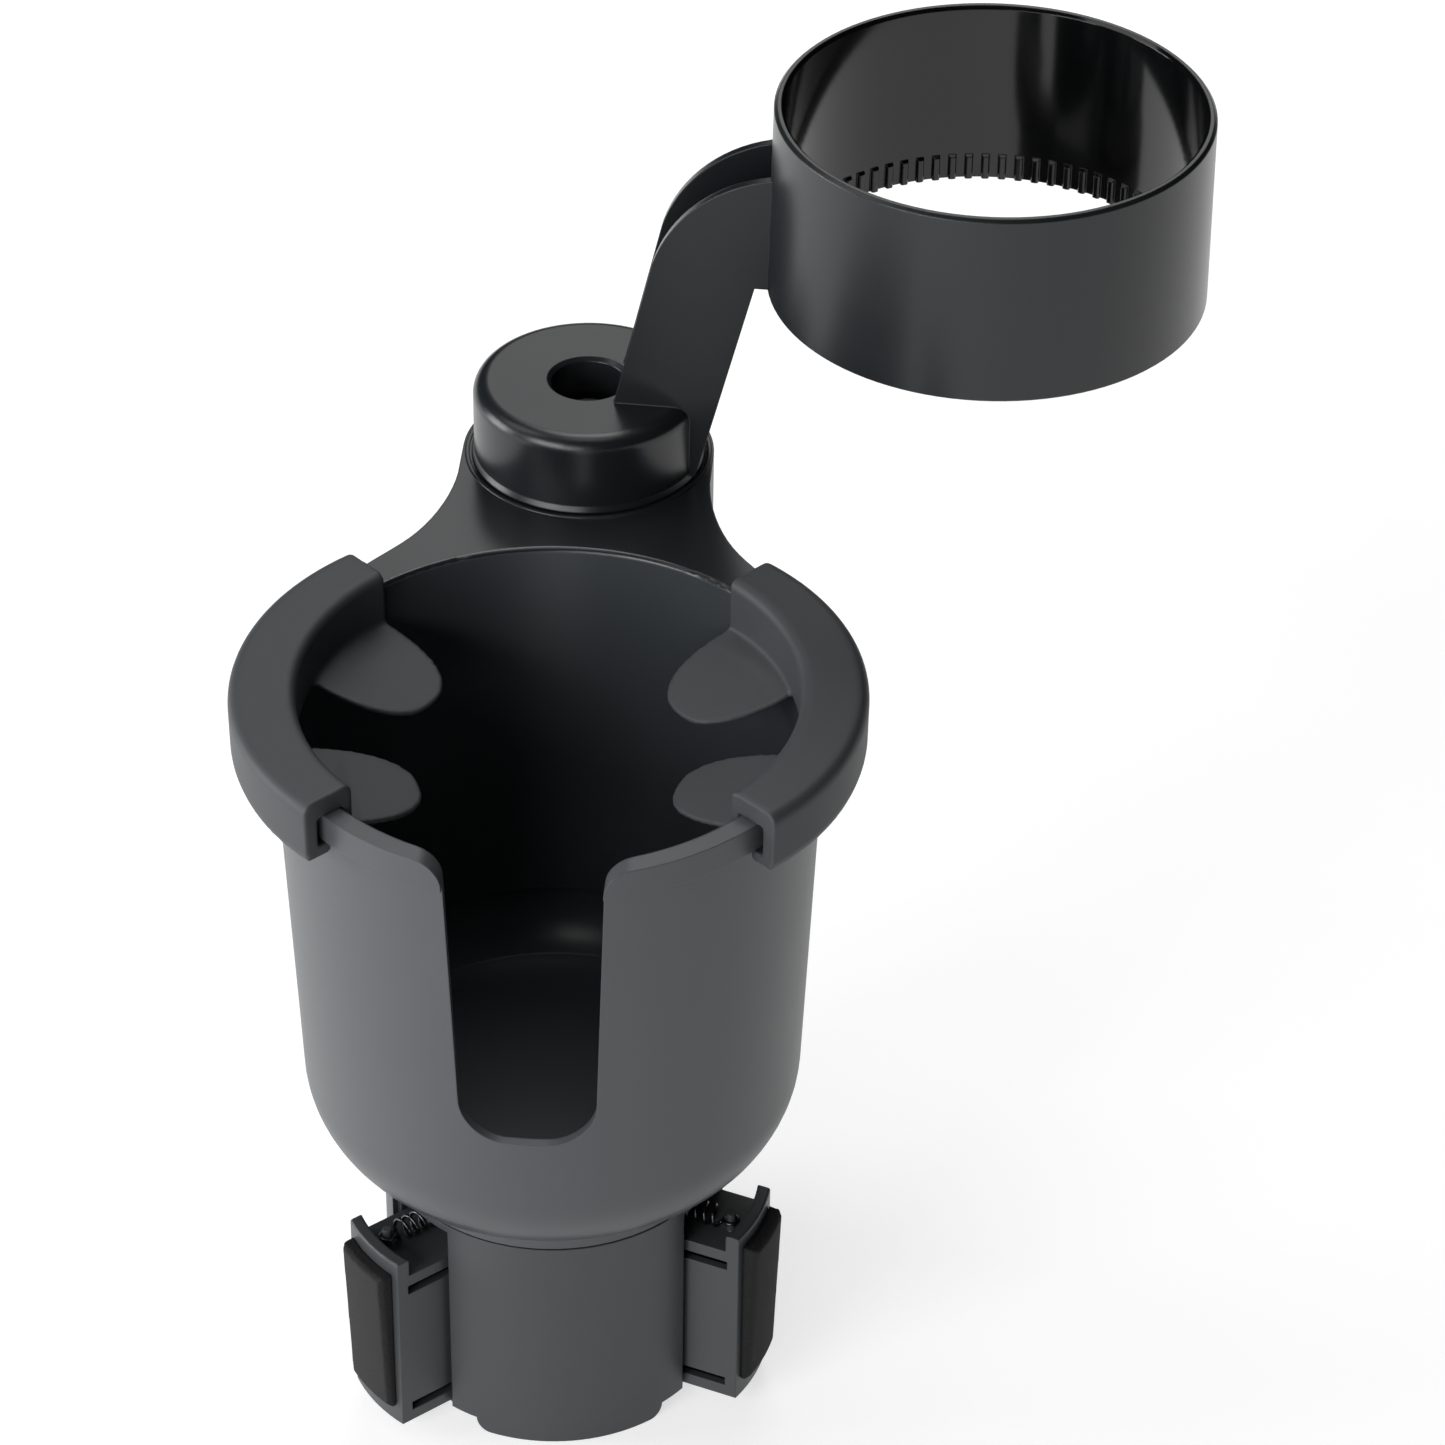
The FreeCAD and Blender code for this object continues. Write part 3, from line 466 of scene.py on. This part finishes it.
def merged_copy(source):
    """Copy of a node's mesh whose corners are shared, so that it counts as closed."""
    copy = nodes[source].data.copy()
    mesh = bmesh.new()
    mesh.from_mesh(copy)
    bmesh.ops.remove_doubles(mesh, verts=mesh.verts, dist=SAME_CORNER)
    mesh.to_mesh(copy)
    mesh.free()
    return copy


# %% [markdown]
# A clip is a moulded rubber channel pushed over the rim, and its two flaps steady a bottle. The channel has one
# section all the way round, so the section is drawn once, as radius and height, and swept along the rim. Towards
# its ends the clip gets a little thinner. The section hugs the rim, as stretched rubber does.

# %% Section of a rim clip
CLIP_INNER = 0.0458
CLIP_OUTER = 0.0581
CLIP_TOP = 0.1598
CLIP_BOTTOM = 0.1474
CLIP_INNER_BOTTOM = 0.1483
CLIP_ROUND = 0.0022
CLIP_ROUND_STEPS = 6
CLIP_THINNING = 0.0015
RIM_INSIDE = 0.0478
CHANNEL_OUTSIDE = 0.0537
RIM_TOP = 0.1558
HOOK_TOP = 0.1495
HOOK_INSIDE = 0.0509
SWEEP_STEP = 1.5


def clip_section(outer):
    """Closed outline of the channel, as (radius, height), for a given outer radius."""
    outline = [(outer - 0.0006, CLIP_BOTTOM), (outer - 0.0001, CLIP_BOTTOM + 0.0016)]
    for step in range(CLIP_ROUND_STEPS + 1):
        turn = math.radians(90 * step / CLIP_ROUND_STEPS)
        radius = outer - CLIP_ROUND + CLIP_ROUND * math.cos(turn)
        outline.append((radius, CLIP_TOP - CLIP_ROUND + CLIP_ROUND * math.sin(turn)))
    outline += [(CLIP_INNER + 0.0016, CLIP_TOP), (CLIP_INNER + 0.0005, CLIP_TOP - 0.0004)]
    outline += [(CLIP_INNER, CLIP_TOP - 0.0014), (CLIP_INNER, CLIP_INNER_BOTTOM)]
    outline += [(RIM_INSIDE - 0.0003, CLIP_INNER_BOTTOM), (RIM_INSIDE, RIM_TOP), (CHANNEL_OUTSIDE, RIM_TOP)]
    outline += [(CHANNEL_OUTSIDE, HOOK_TOP), (HOOK_INSIDE, HOOK_TOP), (HOOK_INSIDE + 0.0004, CLIP_BOTTOM)]
    return outline


def sweep_clip(mesh, first, last):
    """Sweep the section round the cup from one angle to another, in degrees."""
    count = round((last - first) / SWEEP_STEP)
    rings = []
    for step in range(count + 1):
        share = 2 * step / count - 1
        angle = math.radians(first + (last - first) * step / count)
        outline = clip_section(CLIP_OUTER - CLIP_THINNING * share ** 2)
        rings.append([mesh.verts.new((r * math.cos(angle), r * math.sin(angle), z)) for r, z in outline])
    for ring, after in zip(rings, rings[1:]):
        for k in range(len(ring)):
            follower = (k + 1) % len(ring)
            mesh.faces.new((ring[k], ring[follower], after[follower], after[k]))
    mesh.faces.new(list(reversed(rings[0])))
    mesh.faces.new(rings[-1])


print("the section has", len(clip_section(CLIP_OUTER)), "points")

# %% [markdown]
# A flap is a thin tongue with a round tip. Its half outline is close to a superellipse, which is an ellipse with
# another power than two: it keeps its width for longer and then turns in quickly. The flap slopes down to its
# tip, and the tip sags a little more. Its root ends inside the clip's inner leg, where the remesh fuses them.

# %% Flap of a rim clip
FLAP_REACH = 0.0208
FLAP_HALF_WIDTH = 0.0116
FLAP_POWER = 2.4
FLAP_STEPS = 14
FLAP_ROOT_HEIGHT = 0.1492
FLAP_DROP = 0.0040
FLAP_SAG = 0.0004
FLAP_THICKNESS = 0.0011
FLAP_ROOT = CLIP_INNER + 0.0008
FLAP_ROOT_SHARE = -0.08
FLAP_LIMIT = RIM_INSIDE - 0.0006


def flap_outline():
    """Points from one corner of the root round the tip to the other, as (share of the reach, half width)."""
    half = []
    for step in range(FLAP_STEPS + 1):
        turn = math.radians(90 * step / FLAP_STEPS)
        half.append((math.sin(turn) ** (2 / FLAP_POWER), FLAP_HALF_WIDTH * math.cos(turn) ** (2 / FLAP_POWER)))
    one_side = [(along, -across) for along, across in half]
    return one_side + [(along, across) for along, across in reversed(half[:-1])]


def add_flap(mesh, direction, skew):
    """Flap at an angle round the cup, turned about its root by the skew. Both are in degrees."""
    outline = [(FLAP_ROOT_SHARE, -FLAP_HALF_WIDTH)] + flap_outline() + [(FLAP_ROOT_SHARE, FLAP_HALF_WIDTH)]
    turn, twist = math.radians(direction), math.radians(skew)
    layers = []
    for depth in (0.0, FLAP_THICKNESS):
        layer = []
        for along, across in outline:
            inward = -FLAP_REACH * along
            x = FLAP_ROOT + inward * math.cos(twist) - across * math.sin(twist)
            y = inward * math.sin(twist) + across * math.cos(twist)
            held = min(1.0, FLAP_LIMIT / math.hypot(x, y))
            x, y = x * held, y * held
            height = FLAP_ROOT_HEIGHT - FLAP_DROP * along - FLAP_SAG * max(along, 0.0) ** 2 - depth
            place = (x * math.cos(turn) - y * math.sin(turn), x * math.sin(turn) + y * math.cos(turn), height)
            layer.append(mesh.verts.new(place))
        layers.append(layer)
    upper, lower = layers
    for k in range(len(upper)):
        follower = (k + 1) % len(upper)
        mesh.faces.new((upper[k], upper[follower], lower[follower], lower[k]))
    mesh.faces.new(list(reversed(upper)))
    mesh.faces.new(lower)


print("the flap has", len(flap_outline()), "points round its edge")

# %% [markdown]
# Each clip joins one swept channel and two flaps in one mesh. The angles are read anticlockwise from the right,
# in degrees. A flap's second angle is its skew.

# %% Rim clips with flaps
CLIP_ENDS = {"left": (137.3, 226.4), "right": (-40.5, 48.0)}
FLAP_PLACES = {"left": ((152.0, 0.0), (206.0, -7.0)), "right": ((-19.3, 3.0), (33.6, 4.0))}
CLIP_CELL = 0.00042
CLIP_ROUNDS = 4

for side, (first, last) in CLIP_ENDS.items():
    mesh = bmesh.new()
    sweep_clip(mesh, first, last)
    for direction, skew in FLAP_PLACES[side]:
        add_flap(mesh, direction, skew)
    bmesh.ops.triangulate(mesh, faces=[face for face in mesh.faces if len(face.verts) > 4])
    bmesh.ops.recalc_face_normals(mesh, faces=mesh.faces)
    data = mesh_data("clip_" + side, mesh)
    clip = softened("rubber_clip_" + side, data, CLIP_CELL, CLIP_ROUNDS, rim_rubber)
    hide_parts("rim_clip_" + side)
    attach(clip, "cup")

# %% [markdown]
# The grip pads are die-cut from foam sheet and stuck to the arms. Each one leans in a little towards its foot,
# so that the base finds its way into a holder. A copy of the construction solid is leaned in that way, set a
# little lower, and softened only slightly, because a die leaves a crisp edge. The back of the pad, which is stuck
# to the arm, keeps its shape.

# %% Foam pads
PAD_BACK = 0.0438
PAD_TOP = 0.0442
PAD_HEIGHT = 0.0346
PAD_LOWERED = 0.0022
PAD_LEAN = 0.0012
PAD_CELL = 0.0003
PAD_ROUNDS = 2


def leaned_pad(arm, angle):
    mesh = merged_copy("grip_pad_" + arm)
    outward = Vector((math.cos(math.radians(angle)), math.sin(math.radians(angle)), 0.0))
    for vertex in mesh.vertices:
        down = (PAD_TOP - vertex.co.z) / PAD_HEIGHT
        if vertex.co.to_2d().length > PAD_BACK:
            vertex.co -= outward * PAD_LEAN * down
        vertex.co.z -= PAD_LOWERED
    return mesh


for arm, angle in ARMS.items():
    pad = softened("foam_pad_" + arm, leaned_pad(arm, angle), PAD_CELL, PAD_ROUNDS, pad_foam)
    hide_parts("grip_pad_" + arm)
    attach(pad, "arm_" + arm)

# %% [markdown]
# A return spring is one wire: an eye round the base's peg, a straight leg, the coil, and a second leg and eye on
# the arm's peg. A poly curve through points on that path, with a round bevel, is the quickest way to a wire.

# %% Path of a return spring
INNER_PEG = 0.0076
OUTER_PEG = 0.0382
EYE = 0.0013
EYE_STEPS = 12
EYE_SWEEP = 1.75
INNER_EYE_START, OUTER_EYE_START = 0.25, 1.0
COIL_START = 0.0100
COIL_END = 0.0356
COIL_RADIUS = 0.0019
TURNS = 14
TURN_STEPS = 16


def eye_points(peg, start):
    """Wire round a peg. The angles at its start and along its sweep are in half turns."""
    turns = [math.pi * (start + EYE_SWEEP * k / EYE_STEPS) for k in range(EYE_STEPS + 1)]
    return [(peg + EYE * math.cos(turn), EYE * math.sin(turn), 0.0) for turn in turns]


def spring_path():
    points = eye_points(INNER_PEG, INNER_EYE_START)
    for k in range(TURNS * TURN_STEPS + 1):
        turn = 2 * math.pi * k / TURN_STEPS
        x = COIL_START + (COIL_END - COIL_START) * k / (TURNS * TURN_STEPS)
        points.append((x, COIL_RADIUS * math.sin(turn), -COIL_RADIUS * math.cos(turn)))
    return points + eye_points(OUTER_PEG, OUTER_EYE_START)


print("a spring's path has", len(spring_path()), "points")

# %% [markdown]
# Each spring is laid along its arm's direction, at a fixed height and a little to one side, and its place is
# baked into the mesh.

# %% Return springs
SPRING_HEIGHT = 0.0435
SPRING_SIDE = -0.0016
WIRE = 0.00038


def make_spring(name, angle):
    curve = bpy.data.curves.new(name + "_path", "CURVE")
    curve.dimensions = "3D"
    curve.bevel_depth = WIRE
    curve.bevel_resolution = 2
    points = spring_path()
    spline = curve.splines.new("POLY")
    spline.points.add(len(points) - 1)
    cos, sin = math.cos(math.radians(angle)), math.sin(math.radians(angle))
    for point, (x, y, z) in zip(spline.points, points):
        y += SPRING_SIDE
        point.co = (x * cos - y * sin, x * sin + y * cos, SPRING_HEIGHT + z, 1.0)
    rail = bpy.data.objects.new(name + "_rail", curve)
    mesh = bpy.data.meshes.new_from_object(rail)
    bpy.data.objects.remove(rail)
    mesh.shade_smooth()
    spring = add_object(name, mesh)
    paint(spring, spring_wire)
    return spring


for arm, angle in ARMS.items():
    spring = make_spring("return_spring_" + arm, angle)
    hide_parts("arm_spring_" + arm)
    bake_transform(spring)
    print(spring.name, len(spring.data.polygons), "faces")

# %% [markdown]
# The product stands on a wide pale sheet. The camera has to see a clean white, but more lamps would wash the
# black plastic out. So the sheet's own colour stays pale, and only what the camera or a mirror-like surface sees
# of it is lifted to white, which keeps the shadow. Far from the product the lamps reach the sheet less, so the
# lift grows with the distance.

# %% Floor
FLOOR_SIZE = 6.0
FLOOR_PARTS = 8
FLOOR_GLOW_NEAR = 0.66
FLOOR_GLOW_FAR = 1.0
LIFT_START, LIFT_END = 0.35, 1.6


def floor_finish():
    finish = Finish("pale_sheet")
    seen = finish.node("ShaderNodeLightPath", {}, {}, "Is Camera Ray")
    mirrored = finish.node("ShaderNodeLightPath", {}, {}, "Is Glossy Ray")
    passed = finish.node("ShaderNodeLightPath", {}, {}, "Is Transmission Ray")
    mottle = finish.noise(0.05, 2.0)
    colour = finish.mix(mottle, grey(0.54), grey(0.56))
    far = finish.between(finish.from_upright(0.0, 0.0), LIFT_START, LIFT_END)
    lift = finish.mix(far, grey(FLOOR_GLOW_NEAR), grey(FLOOR_GLOW_FAR))
    glow = finish.mix(seen + mirrored + passed, grey(0.0), lift)
    normal = finish.bump(finish.noise(0.002), 0.00002, 0.2)
    sockets = {"Base Color": colour, "Roughness": 0.9, "Normal": normal, "Emission Color": glow,
               "Emission Strength": 1.0}
    return finish.finish(sockets)


sheet = bmesh.new()
bmesh.ops.create_grid(sheet, x_segments=FLOOR_PARTS, y_segments=FLOOR_PARTS, size=FLOOR_SIZE / 2)
floor = add_object("floor", mesh_data("floor", sheet))
paint(floor, floor_finish())

# %% [markdown]
# Studio light for black plastic is mostly about what it mirrors. Seven square soft boxes of one size stand at the
# same distance round the product. The strongest are at the left and the front left, and weaker ones are at the
# front, high at the left, behind and overhead. Each is set by its brightness as a surface, where 1 is white, and
# its power follows from its size. The camera doesn't see the boxes themselves, only their light and their mirror
# images.

# %% Lamps
SUBJECT = Vector((0.03, 0.03, 0.12))
LAMP_DISTANCE = 1.5
LAMP_SIDE = 0.7
LAMPS = {
    "left_box": (-90, 10, 7.4),
    "front_left_box": (-40, 20, 6.6),
    "front_box": (-16, 14, 3.6),
    "upper_left_box": (-90, 52, 1.6),
    "back_box": (180, 34, 1.4),
    "upper_back_box": (180, 64, 4.0),
    "top_box": (0, 86, 1.4),
}


def soft_box(name, around, rise, brightness):
    """Square lamp. Around is degrees from the camera's side, to the right, and rise is degrees up."""
    lamp = bpy.data.lights.new(name, "AREA")
    lamp.shape = "SQUARE"
    lamp.size = LAMP_SIDE
    lamp.energy = brightness * math.pi * LAMP_SIDE * LAMP_SIDE
    box = add_object(name, lamp)
    turn, climb = math.radians(around), math.radians(rise)
    away = Vector((math.cos(climb) * math.sin(turn), -math.cos(climb) * math.cos(turn), math.sin(climb)))
    box.location = SUBJECT + away * LAMP_DISTANCE
    box.rotation_euler = away.to_track_quat("Z", "Y").to_euler()
    box.visible_camera = False
    print(name, "power", round(lamp.energy, 2), "W")


for name, (around, rise, brightness) in LAMPS.items():
    soft_box(name, around, rise, brightness)

# %% [markdown]
# The world is what the camera sees beyond the sheet. Its strength is 1 for what the camera sees directly and 0
# for every other ray, so that it is a white background and gives no light.

# %% World
world = bpy.data.worlds.new("studio")
bpy.context.scene.world = world
world.use_nodes = True
background = world.node_tree.nodes["Background"]
background.inputs["Color"].default_value = (1.0, 1.0, 1.0, 1.0)
ray = world.node_tree.nodes.new("ShaderNodeLightPath")
world.node_tree.links.new(ray.outputs["Is Camera Ray"], background.inputs["Strength"])
print("the world is white to the camera and gives no light")

# %% [markdown]
# The camera stands where the photograph was taken from: a little to the right of the cup's slot and looking
# down by 36 degrees, with a long lens. It was worked out from the ellipses of the rim, the seam and the ring.

# %% Camera
camera_data = bpy.data.cameras.new("photo_camera")
camera_data.sensor_width = 36.0
camera_data.lens = 119.24
camera_data.shift_x = 0.0690
camera_data.shift_y = -0.0233
camera = add_object("photo_camera", camera_data)
camera.location = (0.07057, -0.69447, 0.67160)
camera.rotation_euler = (math.radians(53.65), 0.0, math.radians(4.7))
bpy.context.scene.camera = camera
bpy.context.scene.view_settings.view_transform = "Standard"
print("the camera has a lens of", round(camera_data.lens, 2), "mm")
